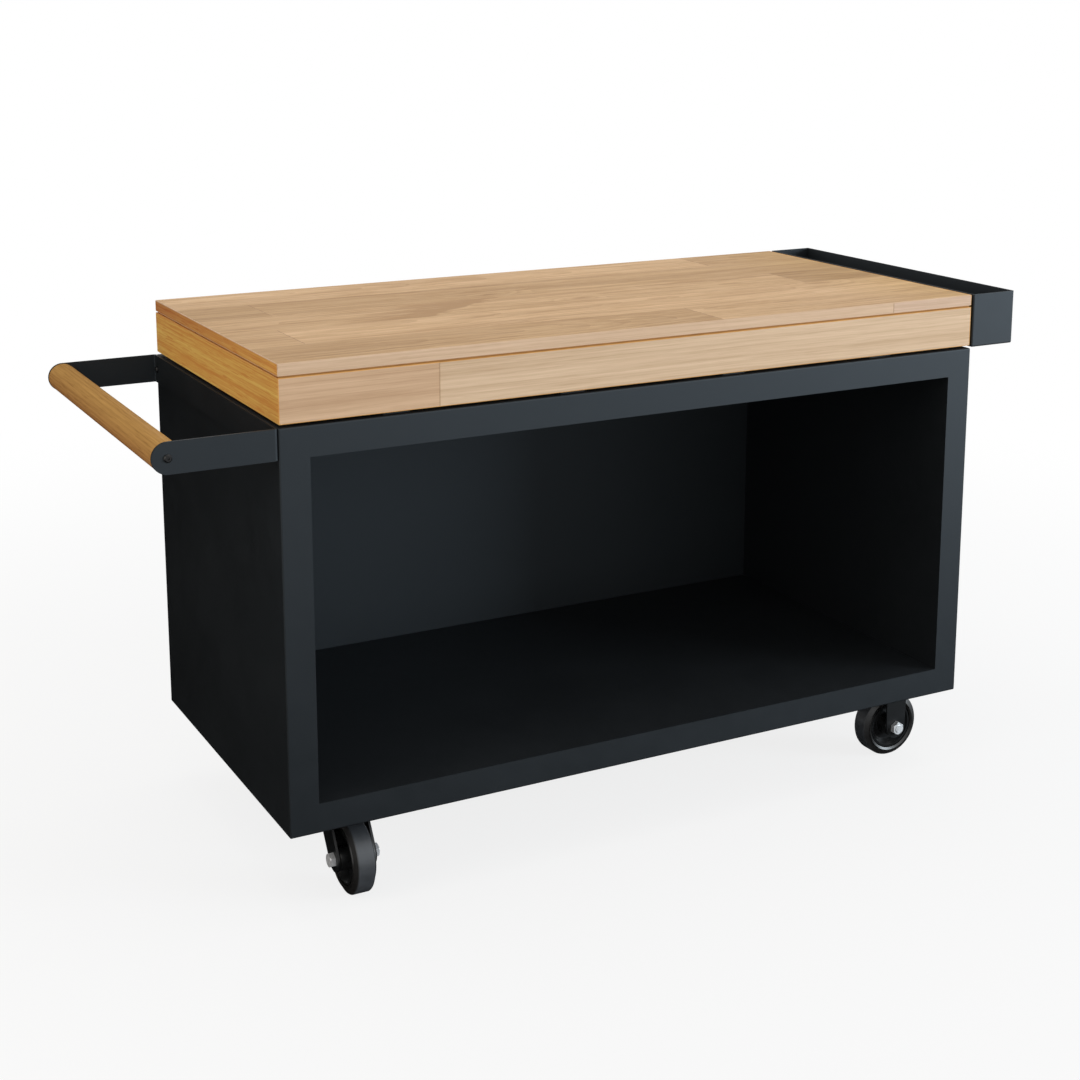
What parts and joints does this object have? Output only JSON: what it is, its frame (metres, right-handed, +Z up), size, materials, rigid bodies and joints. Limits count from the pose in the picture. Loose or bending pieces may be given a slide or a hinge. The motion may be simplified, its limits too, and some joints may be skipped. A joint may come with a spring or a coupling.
{
  "type": "rolling prep table",
  "caption": "Rolling outdoor prep table: open black steel cabinet on casters, thick grooved wooden worktop, push handle with a wooden grip at one end and a steel trough at the other.",
  "frame": {"origin": "on the floor, under the middle of the whole table's box", "axes": "+Z up; +X along the length from the handle to the trough; -Y out of the open front"},
  "size_m": [1.6476, 0.6572, 0.92],
  "materials": {
    "black_steel": "fine-texture black powder coat",
    "caster_steel": "satin black coat",
    "worktop_wood": "oiled teak-like hardwood, staves along the length",
    "inner_wood": "plain hardwood",
    "grip_wood": "turned and oiled hardwood",
    "black_screws": "black oxide",
    "zinc": "bright zinc plate",
    "bearing_steel": "plain steel, greased",
    "spacer": "black polymer",
    "tyre": "black rubber",
    "wheel_centre": "black moulded nylon"
  },
  "bodies": {
    "cabinet": {"frame_top_rail": "black_steel", "frame_bottom_rail": "black_steel", "frame_left_stile": "black_steel", "frame_right_stile": "black_steel", "left_side_panel": "black_steel", "right_side_panel": "black_steel", "base_panel": "black_steel", "top_deck": "black_steel", "back_panel": "black_steel", "liner_floor": "black_steel", "liner_ceiling": "black_steel", "liner_left_wall": "black_steel", "liner_right_wall": "black_steel", "left_caster_channel": "black_steel", "right_caster_channel": "black_steel", "top_board": "worktop_wood", "groove_layer": "inner_wood", "front_apron": "worktop_wood", "back_apron": "worktop_wood", "left_apron": "worktop_wood", "right_apron": "worktop_wood", "top_bearers": "inner_wood", "top_spacers": "spacer", "worktop_screws": "zinc", "handle_bracket": "black_steel", "handle_grip": "grip_wood", "grip_screws": "black_screws", "bracket_screws": "black_screws", "rivet_nuts": "zinc", "planter_trough": "black_steel", "planter_spacers": "spacer", "planter_bolts": "black_screws", "caster_bolts": "zinc", "fixed_axles": "zinc", "front_right_bracket": "caster_steel", "rear_right_bracket": "caster_steel", "front_left_plate": "caster_steel", "front_left_ball_race": "bearing_steel", "front_left_kingpin": "bearing_steel", "rear_left_plate": "caster_steel", "rear_left_ball_race": "bearing_steel", "rear_left_kingpin": "bearing_steel"},
    "front_left_fork": {"front_left_fork": "caster_steel", "front_left_axle": "zinc"},
    "rear_left_fork": {"rear_left_fork": "caster_steel", "rear_left_axle": "zinc"},
    "front_left_wheel": {"front_left_tyre": "tyre", "front_left_wheel_centre": "wheel_centre", "front_left_bush": "bearing_steel"},
    "rear_left_wheel": {"rear_left_tyre": "tyre", "rear_left_wheel_centre": "wheel_centre", "rear_left_bush": "bearing_steel"},
    "front_right_wheel": {"front_right_tyre": "tyre", "front_right_wheel_centre": "wheel_centre", "front_right_bush": "bearing_steel"},
    "rear_right_wheel": {"rear_right_tyre": "tyre", "rear_right_wheel_centre": "wheel_centre", "rear_right_bush": "bearing_steel"}
  },
  "joints": [
    {"name": "front_left_swivel", "type": "hinge", "parent": "cabinet", "child": "front_left_fork", "pos_m": [-0.49475, -0.215, 0.15], "axis": [0, 0, 1], "continuous": true},
    {"name": "front_left_roll", "type": "hinge", "parent": "front_left_fork", "child": "front_left_wheel", "pos_m": [-0.49475, -0.257, 0.0625], "axis": [1, 0, 0], "continuous": true},
    {"name": "rear_left_swivel", "type": "hinge", "parent": "cabinet", "child": "rear_left_fork", "pos_m": [-0.49475, 0.215, 0.15], "axis": [0, 0, 1], "continuous": true},
    {"name": "rear_left_roll", "type": "hinge", "parent": "rear_left_fork", "child": "rear_left_wheel", "pos_m": [-0.49475, 0.173, 0.0625], "axis": [1, 0, 0], "continuous": true},
    {"name": "front_right_roll", "type": "hinge", "parent": "cabinet", "child": "front_right_wheel", "pos_m": [0.64125, -0.221, 0.0625], "axis": [0, 1, 0], "continuous": true},
    {"name": "rear_right_roll", "type": "hinge", "parent": "cabinet", "child": "rear_right_wheel", "pos_m": [0.64125, 0.221, 0.0625], "axis": [0, 1, 0], "continuous": true}
  ]
}
